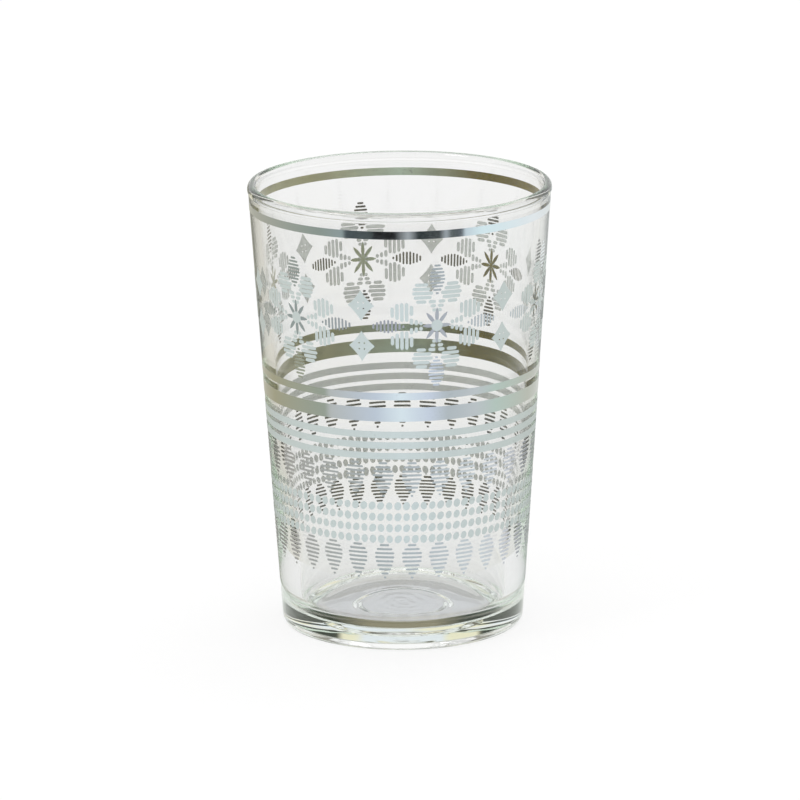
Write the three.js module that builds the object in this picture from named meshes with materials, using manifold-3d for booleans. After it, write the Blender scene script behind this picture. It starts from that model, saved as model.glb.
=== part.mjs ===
// Tapered tea glass: a clear glass with a beaded rim and a thick base, and the print
// that is fired onto its outside. Millimetres, +Z up. The origin is the middle of the
// foot, and the front of the glass faces -Y.
import * as THREE from 'three';
import { mergeVertices } from 'three/addons/utils/BufferGeometryUtils.js';
import loadManifold from 'manifold-3d';

const solids = await loadManifold();
solids.setup();

// Glass
const HEIGHT = 90;
const RIM_DIAMETER = 60.5;
const BASE_DIAMETER = 48.5;
const WALL_AT_RIM = 1.5;
const WALL_AT_WAIST = 2.6;
const WALL_AT_FLOOR = 3.9;
const WAIST_HEIGHT = 36.5;
const LOWER_WALL_HEIGHT = 9.5;
const BEAD_HEIGHT = 2.4;
const BEAD_OVERHANG_OUT = 0.2;
const BEAD_OVERHANG_IN = 0.1;
const HEEL_RISE = 1.5;
const HEEL_RUN = 1;
const FLOOR_THICKNESS = 3.3;
const FLOOR_CORNER_RADIUS = 4.4;
const FOOT_WIDTH = 2.2;
const PUNT_DEPTH = 0.8;
const PUNT_SLOPE_WIDTH = 1.2;
const MOULD_RING_RADIUS = 9.2;
const MOULD_RING_WIDTH = 1.8;
const MOULD_RING_DEPTH = 0.5;

// Print: film, and the bands and lines, which are set out from the rim down
const FILM_THICKNESS = 0.1;
const FILM_CLEARANCE = 0.02;
const RIM_BAND_DEPTH = 3.55;
const RIM_BAND_HEIGHT = 1.6;
const BELT_DEPTH = 36.28;
const NARROW_BAND_HEIGHT = 1.47;
const BAND_GAP = 1.57;
const WIDE_BAND_HEIGHT = 2.83;
const BAND_TO_LINES = 2.05;
const LINE_COUNT = 3;
const LINE_HEIGHT = 1.37;
const LINE_GAP = 0.82;

// Print: one row of flowers, each with an eight-armed star, and two stars in each gap.
// The row starts and ends at the print's seam, where its ends stand a little apart.
const FLOWER_COUNT = 6;
const FIRST_FLOWER_DEGREES = 136.8;
const SEAM_DEGREES = 3.9;
const FLOWER_ABOVE_BELT = 13.58;
const ARM_UP_LENGTH = 3.65;
const ARM_ACROSS_LENGTH = 2.9;
const ARM_SLANT_LENGTH = 3.4;
const ARM_HALF_WIDTH = 0.38;
const ARM_BELLY = 0.56;
const ARM_ROOT = 0.15;
const SMALL_STAR_RISE = 4.1;
const SMALL_STAR_HALF_WIDTH = 2.65;
const SMALL_STAR_HALF_HEIGHT = 3.1;
const SMALL_STAR_WAIST = 1.15;
const PINHOLE_RADIUS = 0.16;
const PINHOLE_ACROSS = 0.54;
const PINHOLE_UP = 0.6;

// Facets
const TURN_SEGMENTS = 64;
const HEEL_STEPS = 6;
const BEAD_STEPS = 3;
const CORNER_STEPS = 6;
const WAIST_STEPS = 8;
const CURVE_STEPS = 4;
const PINHOLE_STEPS = 3;
const CUTTER_REACH = 2;

const glassClear = new THREE.MeshStandardMaterial({ color: 0xe9f0ea, roughness: 0.03, metalness: 0 });
const silverPrint = new THREE.MeshStandardMaterial({ color: 0xc4ccd0, roughness: 0.2, metalness: 1 });
const enamelPrint = new THREE.MeshStandardMaterial({ color: 0xc8d4d6, roughness: 0.4, metalness: 0 });

// The bead is an ellipse in section. The wall runs into it at a neck on each side.
const beadHalf = (WALL_AT_RIM + BEAD_OVERHANG_OUT + BEAD_OVERHANG_IN) / 2;
const beadCentreZ = HEIGHT - BEAD_HEIGHT / 2;
const beadStart = -Math.acos(1 - BEAD_OVERHANG_OUT / beadHalf);
const beadEnd = Math.PI + Math.acos(1 - BEAD_OVERHANG_IN / beadHalf);
const outerNeckZ = beadCentreZ + BEAD_HEIGHT / 2 * Math.sin(beadStart);

const neckRadius = RIM_DIAMETER / 2 - BEAD_OVERHANG_OUT;
const wallSlope = (neckRadius - BASE_DIAMETER / 2) / outerNeckZ;
const wallTilt = Math.atan(wallSlope);

// Outer radius of the wall at a height above the foot.
function outerRadius(z) {
  return BASE_DIAMETER / 2 + wallSlope * z;
}

// Points on part of an ellipse, from one angle to another, both ends included.
function ellipseArc(centreR, centreZ, halfR, halfZ, from, to, steps) {
  return Array.from({ length: steps + 1 }, (_, i) => {
    const angle = from + (to - from) * i / steps;
    return new THREE.Vector2(centreR + halfR * Math.cos(angle), centreZ + halfZ * Math.sin(angle));
  });
}

// A profile of (radius, height) points, turned about the upright axis.
function turned(profile) {
  const geometry = new THREE.LatheGeometry(profile, TURN_SEGMENTS);
  geometry.rotateX(Math.PI / 2);
  return geometry;
}

// Underside: a shallow punt with the mould's ring in it, out to the flat foot.
function undersideProfile(footOuter) {
  const puntEdge = footOuter - FOOT_WIDTH;
  const ringFloor = PUNT_DEPTH + MOULD_RING_DEPTH;
  return [
    new THREE.Vector2(0, PUNT_DEPTH),
    new THREE.Vector2(MOULD_RING_RADIUS - MOULD_RING_WIDTH / 2, PUNT_DEPTH),
    new THREE.Vector2(MOULD_RING_RADIUS, ringFloor),
    new THREE.Vector2(MOULD_RING_RADIUS + MOULD_RING_WIDTH / 2, PUNT_DEPTH),
    new THREE.Vector2(puntEdge - PUNT_SLOPE_WIDTH, PUNT_DEPTH),
    new THREE.Vector2(puntEdge, 0),
  ];
}

// Rim: the bead, from its outer neck over the top to its inner neck, in four stretches
// that meet at its widest, highest and innermost points.
function beadProfile() {
  const centreR = RIM_DIAMETER / 2 - beadHalf;
  const halfZ = BEAD_HEIGHT / 2;
  const stops = [beadStart, 0, Math.PI / 2, Math.PI, beadEnd];
  return stops.slice(1).flatMap((stop, i) => {
    const stretch = ellipseArc(centreR, beadCentreZ, beadHalf, halfZ, stops[i], stop, BEAD_STEPS);
    return i === 0 ? stretch : stretch.slice(1);
  });
}

// Inside: the wall comes down straight to its waist, thickens softly to the lower wall, and
// ends in a round corner that is tangent to that wall and to the floor.
function insideProfile() {
  const waist = Array.from({ length: WAIST_STEPS + 1 }, (_, i) => {
    const share = i / WAIST_STEPS;
    const z = THREE.MathUtils.lerp(WAIST_HEIGHT, LOWER_WALL_HEIGHT, share);
    const wall = THREE.MathUtils.lerp(WALL_AT_WAIST, WALL_AT_FLOOR, THREE.MathUtils.smoothstep(share, 0, 1));
    return new THREE.Vector2(outerRadius(z) - wall, z);
  });
  const radius = FLOOR_CORNER_RADIUS;
  const centreZ = FLOOR_THICKNESS + radius;
  const centreR = outerRadius(centreZ) - WALL_AT_FLOOR - radius / Math.cos(wallTilt);
  const corner = ellipseArc(centreR, centreZ, radius, radius, -wallTilt, -Math.PI / 2, CORNER_STEPS);
  return [...waist, ...corner, new THREE.Vector2(0, FLOOR_THICKNESS)];
}

function glassBody() {
  const heelCentre = outerRadius(HEEL_RISE) - HEEL_RUN;
  const profile = [
    ...undersideProfile(heelCentre),
    ...ellipseArc(heelCentre, HEEL_RISE, HEEL_RUN, HEEL_RISE, -Math.PI / 2, 0, HEEL_STEPS),
    ...beadProfile(),
    ...insideProfile(),
  ];
  return turned(profile);
}

// A closed ring of film on the outer wall, given by its top edge.
function filmRing(top, height) {
  const bottom = top - height;
  const inner = (z) => new THREE.Vector2(outerRadius(z) + FILM_CLEARANCE, z);
  const outer = (z) => new THREE.Vector2(outerRadius(z) + FILM_CLEARANCE + FILM_THICKNESS, z);
  return turned([inner(bottom), outer(bottom), outer(top), inner(top), inner(bottom)]);
}

function toSolid(geometry) {
  const bare = geometry.clone();
  bare.deleteAttribute('normal');
  bare.deleteAttribute('uv');
  const merged = mergeVertices(bare);
  const vertProperties = new Float32Array(merged.attributes.position.array);
  const triVerts = new Uint32Array(merged.index.array);
  return new solids.Manifold(new solids.Mesh({ numProp: 3, vertProperties, triVerts }));
}

function toGeometry(solid) {
  const mesh = solid.getMesh();
  const geometry = new THREE.BufferGeometry();
  geometry.setAttribute('position', new THREE.BufferAttribute(mesh.vertProperties, mesh.numProp));
  geometry.setIndex(new THREE.BufferAttribute(mesh.triVerts, 1));
  geometry.computeVertexNormals();
  return geometry;
}

// An outline drawn flat, stood square to the wall at an angle from the front, as a cutter.
function cutterOnWall(shape, degrees, height) {
  const cutter = new THREE.ExtrudeGeometry(shape, {
    depth: 2 * CUTTER_REACH,
    bevelEnabled: false,
    curveSegments: CURVE_STEPS,
  });
  cutter.translate(0, 0, -CUTTER_REACH);
  const turn = THREE.MathUtils.degToRad(degrees);
  const radial = new THREE.Vector3(Math.sin(turn), -Math.cos(turn), 0);
  const up = new THREE.Vector3(0, 0, 1);
  const across = new THREE.Vector3(Math.cos(turn), Math.sin(turn), 0);
  const along = radial.clone().multiplyScalar(Math.sin(wallTilt)).addScaledVector(up, Math.cos(wallTilt));
  const normal = new THREE.Vector3().crossVectors(across, along);
  const place = new THREE.Matrix4().makeBasis(across, along, normal);
  place.setPosition(radial.multiplyScalar(outerRadius(height)).addScaledVector(up, height));
  return toSolid(cutter.applyMatrix4(place));
}

// The film under some outlines, cut from a ring that is a little taller than they are.
function filmUnder(shapes, degrees, height, halfHeight) {
  const reach = halfHeight + CUTTER_REACH;
  const ring = toSolid(filmRing(height + reach, 2 * reach));
  const cutters = shapes.map((shape) => cutterOnWall(shape, degrees, height));
  const whole = cutters.reduce((sum, cutter) => sum.add(cutter));
  return toGeometry(ring.intersect(whole));
}

// One slim arm of a star, pointed at its tip and rooted past the star's centre. Its belly is
// a share of its length.
function armShape(length, turn) {
  const at = (along, side) => new THREE.Vector2(along, side).rotateAround(new THREE.Vector2(), turn);
  const root = at(-ARM_ROOT, 0);
  const tip = at(length, 0);
  const left = at(ARM_BELLY * length, 2 * ARM_HALF_WIDTH);
  const right = at(ARM_BELLY * length, -2 * ARM_HALF_WIDTH);
  const shape = new THREE.Shape();
  shape.moveTo(root.x, root.y);
  shape.quadraticCurveTo(right.x, right.y, tip.x, tip.y);
  shape.quadraticCurveTo(left.x, left.y, root.x, root.y);
  return shape;
}

function eightArmShapes() {
  const slant = Math.atan2(ARM_UP_LENGTH, ARM_ACROSS_LENGTH);
  const quarter = Math.PI / 2;
  const arms = [
    [ARM_ACROSS_LENGTH, 0],
    [ARM_SLANT_LENGTH, slant],
    [ARM_UP_LENGTH, quarter],
    [ARM_SLANT_LENGTH, 2 * quarter - slant],
  ];
  return arms.flatMap(([length, turn]) => [armShape(length, turn), armShape(length, turn + Math.PI)]);
}

// A four-pointed star with hollow sides and four pinholes round its middle.
function smallStarShape() {
  const shape = new THREE.Shape();
  const waist = SMALL_STAR_WAIST;
  shape.moveTo(SMALL_STAR_HALF_WIDTH, 0);
  shape.quadraticCurveTo(waist, waist, 0, SMALL_STAR_HALF_HEIGHT);
  shape.quadraticCurveTo(-waist, waist, -SMALL_STAR_HALF_WIDTH, 0);
  shape.quadraticCurveTo(-waist, -waist, 0, -SMALL_STAR_HALF_HEIGHT);
  shape.quadraticCurveTo(waist, -waist, SMALL_STAR_HALF_WIDTH, 0);
  for (const across of [-PINHOLE_ACROSS, PINHOLE_ACROSS]) {
    for (const up of [-PINHOLE_UP, PINHOLE_UP]) {
      const corners = Array.from({ length: 2 * PINHOLE_STEPS }, (_, i) => {
        const angle = -Math.PI * i / PINHOLE_STEPS;
        return new THREE.Vector2(
          across + PINHOLE_RADIUS * Math.cos(angle),
          up + PINHOLE_RADIUS * Math.sin(angle),
        );
      });
      shape.holes.push(new THREE.Path(corners));
    }
  }
  return shape;
}

const teaGlass = new THREE.Group();

function addPiece(name, geometry, material) {
  const mesh = new THREE.Mesh(geometry, material);
  mesh.name = name;
  teaGlass.add(mesh);
}

addPiece('glass_body', glassBody(), glassClear);
addPiece('rim_band', filmRing(HEIGHT - RIM_BAND_DEPTH, RIM_BAND_HEIGHT), silverPrint);

const beltTop = HEIGHT - BELT_DEPTH;
const wideBandTop = beltTop - NARROW_BAND_HEIGHT - BAND_GAP;
const linesTop = wideBandTop - WIDE_BAND_HEIGHT - BAND_TO_LINES;
addPiece('belt_band_narrow', filmRing(beltTop, NARROW_BAND_HEIGHT), silverPrint);
addPiece('belt_band_wide', filmRing(wideBandTop, WIDE_BAND_HEIGHT), silverPrint);
for (let i = 0; i < LINE_COUNT; i += 1) {
  const lineTop = linesTop - i * (LINE_HEIGHT + LINE_GAP);
  addPiece(`belt_line_${i + 1}`, filmRing(lineTop, LINE_HEIGHT), enamelPrint);
}

const flowerHeight = beltTop + FLOWER_ABOVE_BELT;
const flowerStep = (360 - SEAM_DEGREES) / FLOWER_COUNT;
for (let i = 0; i < FLOWER_COUNT; i += 1) {
  const flower = FIRST_FLOWER_DEGREES + i * flowerStep;
  const gap = flower + flowerStep / 2;
  const star = filmUnder(eightArmShapes(), flower, flowerHeight, ARM_UP_LENGTH);
  addPiece(`flower_star_${i + 1}`, star, silverPrint);
  for (const [place, rise] of [['upper', SMALL_STAR_RISE], ['lower', -SMALL_STAR_RISE]]) {
    const small = filmUnder([smallStarShape()], gap, flowerHeight + rise, SMALL_STAR_HALF_HEIGHT);
    addPiece(`gap_star_${place}_${i + 1}`, small, enamelPrint);
  }
}

export default teaGlass;
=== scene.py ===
"""Dresses the printed tea glass: the clear glass body and the print that is fired onto its outside.

The print is thin film in two inks. Silver lustre makes the bands, the eight-armed stars and the finely
hatched leaves. Pale enamel makes the belt lines, the petals, the small stars and the beads. Each motif is
drawn flat and then wrapped round the tapered wall. Lengths are in metres, +Z is up, and the front of the
glass faces -Y.
"""

import math

import bpy
from bpy.props import FloatProperty, FloatVectorProperty, IntProperty, PointerProperty
from bpy.types import Operator, Panel, PropertyGroup
from mathutils import Matrix, Vector


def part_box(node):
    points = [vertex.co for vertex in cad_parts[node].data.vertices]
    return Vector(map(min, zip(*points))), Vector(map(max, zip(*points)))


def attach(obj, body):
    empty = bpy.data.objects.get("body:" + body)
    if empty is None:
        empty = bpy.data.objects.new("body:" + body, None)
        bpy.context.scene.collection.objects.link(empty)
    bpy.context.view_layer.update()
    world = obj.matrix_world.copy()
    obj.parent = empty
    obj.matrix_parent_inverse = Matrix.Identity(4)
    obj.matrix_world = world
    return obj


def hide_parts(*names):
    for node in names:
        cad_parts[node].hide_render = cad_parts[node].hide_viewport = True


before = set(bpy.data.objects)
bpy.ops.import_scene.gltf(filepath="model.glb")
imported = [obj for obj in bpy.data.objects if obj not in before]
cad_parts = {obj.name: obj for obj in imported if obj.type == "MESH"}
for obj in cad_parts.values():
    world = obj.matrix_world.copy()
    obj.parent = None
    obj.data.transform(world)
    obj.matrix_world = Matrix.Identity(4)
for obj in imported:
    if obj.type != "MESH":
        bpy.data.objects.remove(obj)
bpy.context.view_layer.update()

bl_info = {
    "name": "Printed Tea Glass",
    "version": (1, 0, 0),
    "blender": (4, 5, 0),
    "location": "View3D > Sidebar > Tea Glass",
    "description": "Builds a clear tapered tea glass with a silver and enamel print",
    "category": "Object",
}

MM = 0.001
BODY = "root"
GLASS_SLOT = "clear_glass"
SILVER_SLOT = "silver_print"
ENAMEL_SLOT = "enamel_print"

# The outer wall is a straight cone, found from two rings of the frame's print, whose outsides stand off it
RING_STAND_OFF = 0.12 * MM
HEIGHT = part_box("glass_body")[1].z
RIM_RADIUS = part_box("glass_body")[1].x
UPPER_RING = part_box("rim_band")[1]
LOWER_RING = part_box("belt_line_3")[1]
WALL_SLOPE = (UPPER_RING.x - LOWER_RING.x) / (UPPER_RING.z - LOWER_RING.z)
FOOT_RADIUS = LOWER_RING.x - RING_STAND_OFF - WALL_SLOPE * LOWER_RING.z

FLOWER_NODES = sorted(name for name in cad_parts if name.startswith("flower_star_"))
GAP_STAR_NODES = sorted(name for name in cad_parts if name.startswith("gap_star_"))
FLOWER_COUNT = len(FLOWER_NODES)


def middle(node):
    """The middle of a frame node's box."""
    low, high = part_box(node)
    return (low + high) / 2


def wall_radius(z):
    """Radius of the outer wall at a height."""
    return FOOT_RADIUS + WALL_SLOPE * z


def turn_of(point):
    """Angle of a point round the glass, from the front towards +X."""
    return math.atan2(point.x, -point.y)


FLOWER_HEIGHT = middle("flower_star_1").z
FIRST_FLOWER = turn_of(middle("flower_star_1"))
FLOWER_STEP = (turn_of(middle("flower_star_2")) - FIRST_FLOWER) % math.tau


# Properties

def length(name, description, millimetres):
    """A length property whose default is given in millimetres."""
    return FloatProperty(
        name=name, description=description, default=millimetres * MM, min=0.0, precision=5, unit="LENGTH"
    )


def colour(name, description, default):
    """A linear colour property."""
    return FloatVectorProperty(
        name=name, description=description, default=default, size=3, min=0.0, max=1.0, subtype="COLOR"
    )


def share(name, description, default):
    """A plain number from 0 to 1."""
    return FloatProperty(
        name=name, description=description, default=default, min=0.0, max=1.0, subtype="FACTOR"
    )


def whole(name, description, default, least=3):
    """A whole-number property."""
    return IntProperty(name=name, description=description, default=default, min=least)


def angle(name, description, degrees):
    """An angle property whose default is given in degrees."""
    return FloatProperty(
        name=name, description=description, default=math.radians(degrees), subtype="ANGLE"
    )


class GlassShape(PropertyGroup):
    """Sizes of the clear glass body."""

    wall_at_rim: length("Wall at rim", "Thickness of the wall below the rim bead", 1.5)
    wall_at_waist: length("Wall at waist", "Thickness of the wall where it starts to grow", 2.6)
    wall_at_floor: length("Wall at floor", "Thickness of the lower wall", 3.9)
    waist: length("Waist", "Height at which the wall starts to thicken", 36.5)
    lower_wall: length("Lower wall", "Height below which the wall keeps its greatest thickness", 9.5)
    bead_height: length("Bead height", "Height of the rim bead", 2.4)
    bead_out: length("Bead overhang outside", "How far the bead stands out past the wall", 0.2)
    bead_in: length("Bead overhang inside", "How far the bead stands in past the wall", 0.1)
    heel_rise: length("Heel rise", "Height of the rounded heel", 1.5)
    heel_run: length("Heel run", "Width of the rounded heel", 1.0)
    floor: length("Floor", "Thickness of the floor above the foot", 3.3)
    corner: length("Floor corner", "Radius between the floor and the inside wall", 4.4)
    foot_width: length("Foot width", "Width of the flat ring that the glass stands on", 2.2)
    punt: length("Punt depth", "Depth of the hollow under the floor", 0.8)
    punt_slope: length("Punt slope", "Width of the slope from the foot to the hollow", 1.2)
    ring_radius: length("Mould ring", "Radius of the groove that the mould leaves underneath", 9.2)
    ring_width: length("Mould ring width", "Width of the groove underneath", 1.8)
    ring_depth: length("Mould ring depth", "Depth of the groove underneath", 0.5)
    ripple: length("Ripple", "Depth of the slow ripple on the inside wall", 0.012)
    floor_ripple: length("Floor ripple", "Depth of the faint rings on the floor", 0.009)
    ring_spacing: length("Floor ring spacing", "Distance between the faint rings on the floor", 2.4)


class PrintShape(PropertyGroup):
    """Sizes of the printed motifs, measured on the wall."""

    gap: length("Film gap", "Air between the film and the glass", 0.012)
    thickness: length("Film thickness", "Thickness of the film", 0.038)
    arm_up: length("Star arm up", "Length of the upright arms of the eight-armed star", 3.65)
    arm_across: length("Star arm across", "Length of the level arms of the eight-armed star", 2.9)
    arm_slant: length("Star arm slanted", "Length of the slanted arms of the eight-armed star", 3.4)
    arm_half_width: length("Star arm half width", "Half of an arm's greatest width", 0.38)
    arm_valley: length("Star valley", "Distance of the notch between arms from the star's middle", 0.36)
    heart: length("Star heart", "Radius of the enamel dot on the middle of the eight-armed star", 1.15)
    small_star_across: length("Small star across", "Half width of the four-pointed star", 2.65)
    small_star_up: length("Small star up", "Half height of the four-pointed star", 3.1)
    small_star_waist: length("Small star waist", "Pull of the hollow sides towards the middle", 1.15)
    pinhole: length("Pinhole", "Radius of the pinholes in the four-pointed star", 0.16)
    pinhole_across: length("Pinhole across", "Pinhole distance from the star's middle, level", 0.54)
    pinhole_up: length("Pinhole up", "Pinhole distance from the star's middle, upright", 0.6)
    petal_lines: whole("Petal lines", "Lines in one petal", 7)
    petal_line_width: length("Petal line width", "Width of a line of a petal", 0.69)
    petal_first: length("Petal start", "Distance of a petal's first line from the flower's middle", 3.15)
    petal_pitch_across: length("Petal pitch, level", "Step between the lines of a level petal", 0.93)
    petal_pitch_up: length("Petal pitch, upright", "Step between the lines of an upright petal", 0.86)
    lobe_along: length("Lobe place along", "Distance of a petal's lobe from the flower's middle", 6.7)
    lobe_across: length("Lobe place across", "Distance of a petal's lobe from the petal's axis", 2.85)
    lobe_half_length: length("Lobe half length", "Half of a lobe's length along the petal", 2.35)
    lobe_half_width: length("Lobe half width", "Half of a lobe's width across the petal", 2.0)
    lobe_clearance: length("Lobe clearance", "Gap that a lobe keeps to the leaf inside the petal", 0.45)
    leaf_lines: whole("Leaf lines", "Lines in one hatched leaf", 9)
    leaf_line_width: length("Leaf line width", "Width of a line of a hatched leaf", 0.41)
    leaf_first_across: length("Level leaf start", "First line of a level flower leaf from the middle", 6.6)
    leaf_first_up: length("Upright leaf start", "First line of an upright flower leaf from the middle", 6.5)
    leaf_pitch_across: length("Level leaf pitch", "Step between the lines of a level flower leaf", 0.73)
    leaf_pitch_up: length("Upright leaf pitch", "Step between the lines of an upright flower leaf", 0.7)
    leaf_half_across: length("Level leaf half width", "Half of a level flower leaf's width", 1.33)
    leaf_half_up: length("Upright leaf half width", "Half of an upright flower leaf's width", 1.6)
    front_leaves: whole("Front leaves", "Leaves of a row's front run", 18)
    front_start: angle("Front run start", "Angle of the front run's first leaf from the front", -104.97)
    back_leaves: whole("Back leaves", "Leaves of a row's back run", 11)
    back_start: angle("Back run start", "Angle of the back run's first leaf from the front", 118.8)
    row_step: angle("Row step", "Angle from one leaf of a row to the next", 12.13)
    row_upper: length("Upper row", "Height of the upper leaf row's first line", 39.27)
    row_lower: length("Lower row", "Height of the lower leaf row's first line", 22.25)
    row_pitch: length("Row line pitch", "Step between the lines of a row's leaf", 0.845)
    row_half_width: length("Row leaf half width", "Half of a row leaf's greatest width", 1.98)
    row_line_width: length("Row line width", "Width of a line of a row's leaf", 0.43)
    beads: whole("Beads in a row", "Beads in each bead row", 96)
    bead_rows: whole("Bead rows", "Rows of beads", 4, 1)
    bead_first_turn: angle("Bead start", "Angle of a row's first bead from the front", 112.63)
    bead_step: angle("Bead step", "Angle from one bead to the next", 3.72)
    bead_top: length("Top bead row", "Height of the top row of beads", 30.4)
    bead_pitch: length("Bead row pitch", "Step from one row of beads to the next", 2.3)
    bead_half_width: length("Bead half width", "Half of a bead's width", 0.66)
    bead_half_height: length("Bead half height", "Half of a bead's height", 0.84)
    bead_slant: angle("Bead slant", "Mean tilt of the beads", -14.0)
    bead_tilt: angle("Bead tilt", "Most that a bead's tilt departs from the mean", 22.0)
    unevenness: share("Unevenness", "Share by which printed lines vary in length and width", 0.06)


class Finishes(PropertyGroup):
    """Colours of the glass and the two inks."""

    glass_tint: colour("Glass tint", "Colour of light that has crossed much glass", (0.86, 0.92, 0.86))
    silver: colour("Silver", "Silver lustre seen from outside", (0.82, 0.83, 0.84))
    # The silver's inside tones, from left to right, are painted reflections
    silver_back_reflection_left: colour("Silver inside, left", "Silver through the glass, left", (0.62, 0.61, 0.34))
    silver_back_reflection: colour("Silver inside, middle", "Silver through the glass, middle", (0.70, 0.86, 0.66))
    silver_back_reflection_right: colour("Silver inside, right", "Silver through the glass, right", (0.23, 0.18, 0.00))
    hatch_back: colour("Hatching from inside", "Hatching seen through the glass", (0.20, 0.185, 0.14))
    # The enamel's outside tones are darkened as painted shade, most at the sides
    enamel: colour("Enamel", "Enamel seen from outside at the front", (0.54, 0.62, 0.63))
    enamel_side_shade: colour("Enamel at the sides", "Enamel seen from outside at the sides", (0.48, 0.53, 0.50))
    enamel_back: colour("Enamel from inside", "Enamel seen through the glass", (0.90, 0.93, 0.90))


class StageSet(PropertyGroup):
    """Floor, light and camera."""

    floor_colour: colour("Floor", "Colour of the floor", (0.96, 0.96, 0.955))
    floor_glow: share("Floor glow", "Share of the floor's look that does not depend on shadow", 0.8)
    world_level: FloatProperty(name="World", description="Strength of the even white light", default=1.0)
    camera_place: FloatVectorProperty(
        name="Camera place", description="Where the camera stands", default=(-0.00026, -1.0172, 0.3097),
        size=3, subtype="TRANSLATION", unit="LENGTH",
    )
    camera_pitch: angle("Camera pitch", "How far the camera looks down", 14.58)
    camera_roll: angle("Camera roll", "How far the camera leans to its right", 0.466)
    lens: FloatProperty(name="Lens", description="Focal length", default=235.9, unit="CAMERA")


# Node trees

def feed(tree, socket, value):
    """Link a socket into an input, or set the input's value."""
    if isinstance(value, bpy.types.NodeSocket):
        tree.links.new(value, socket)
    else:
        socket.default_value = value


def add(tree, kind, inputs=None, **settings):
    """Add a node with its settings, and feed its inputs by name or index."""
    node = tree.nodes.new(kind)
    for name, value in settings.items():
        setattr(node, name, value)
    for key, value in (inputs or {}).items():
        feed(tree, node.inputs[key], value)
    return node


def result(tree, kind, inputs=None, **settings):
    """The first output of an added node."""
    return add(tree, kind, inputs, **settings).outputs[0]


def calc(tree, operation, first, second=0.0):
    """A Math node's result."""
    return result(tree, "ShaderNodeMath", {0: first, 1: second}, operation=operation)


def vector(tree, x=0.0, y=0.0, z=0.0):
    """A vector from three numbers or sockets."""
    return result(tree, "ShaderNodeCombineXYZ", {0: x, 1: y, 2: z})


def split(tree, value):
    """The X, Y and Z of a vector."""
    return add(tree, "ShaderNodeSeparateXYZ", {0: value}).outputs


def group_node(tree, group, inputs):
    """Place a node group in a tree."""
    kind = "GeometryNodeGroup" if tree.bl_idname == "GeometryNodeTree" else "ShaderNodeGroup"
    return add(tree, kind, inputs, node_tree=group)


def floats(*names):
    """Number sockets for a tree's interface."""
    return [(name, "NodeSocketFloat") for name in names]


def new_tree(name, kind, inputs, outputs):
    """A node tree with named sockets, given with its group input's sockets by name and its output node."""
    tree = bpy.data.node_groups.new(name, kind)
    for way, sockets in (("INPUT", inputs), ("OUTPUT", outputs)):
        for socket_name, socket_kind in sockets:
            tree.interface.new_socket(name=socket_name, in_out=way, socket_type=socket_kind)
    entry = tree.nodes.new("NodeGroupInput")
    given = {socket.name: socket for socket in entry.outputs if socket.name}
    return tree, given, tree.nodes.new("NodeGroupOutput")


def attribute(tree, name, kind="FLOAT"):
    """A named attribute's value."""
    return result(tree, "GeometryNodeInputNamedAttribute", {"Name": name}, data_type=kind)


def store(tree, geometry, name, value, kind="FLOAT", domain="POINT"):
    """Geometry with a value kept on it under a name."""
    inputs = {"Geometry": geometry, "Name": name, "Value": value}
    return result(tree, "GeometryNodeStoreNamedAttribute", inputs, data_type=kind, domain=domain)


def realized(tree, geometry):
    """Instances made into plain geometry."""
    return result(tree, "GeometryNodeRealizeInstances", {0: geometry})


def on_points(tree, points, instance, more=None):
    """A copy of the instance on each point, made into plain geometry."""
    inputs = {"Points": points, "Instance": instance, **(more or {})}
    return realized(tree, result(tree, "GeometryNodeInstanceOnPoints", inputs))


def random_value(tree, low, high, identity, seed):
    """A random number for each identity."""
    inputs = {2: low, 3: high, 7: identity, 8: seed}
    return add(tree, "FunctionNodeRandomValue", inputs, data_type="FLOAT").outputs[1]


GEOMETRY = ("Geometry", "NodeSocketGeometry")
SEED = ("Seed", "NodeSocketInt")
REPEAT_INPUTS = [("Count", "NodeSocketInt"), *floats("Step", "First", "Row radius")]
FILM_INPUTS = [
    *floats("Foot radius", "Wall slope", "Gap", "Thickness"),
    ("Outside finish", "NodeSocketMaterial"),
    ("Inside finish", "NodeSocketMaterial"),
]

# How close two points of a film have to be to become one, and where between the layers its inside ends
WELD_REACH = 0.001 * MM
INSIDE_LAYER = 0.25


def repeat_group():
    """Copies of a flat motif in a straight row. The step is an angle at the row's radius."""
    tree, given, end = new_tree("Row of motifs", "GeometryNodeTree", [GEOMETRY, *REPEAT_INPUTS], [GEOMETRY])
    start = vector(tree, calc(tree, "MULTIPLY", given["First"], given["Row radius"]))
    offset = vector(tree, calc(tree, "MULTIPLY", given["Step"], given["Row radius"]))
    line_inputs = {"Count": given["Count"], "Start Location": start, "Offset": offset}
    row = result(tree, "GeometryNodeMeshLine", line_inputs, mode="OFFSET")
    feed(tree, end.inputs[0], on_points(tree, row, given["Geometry"]))
    return tree


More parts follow.
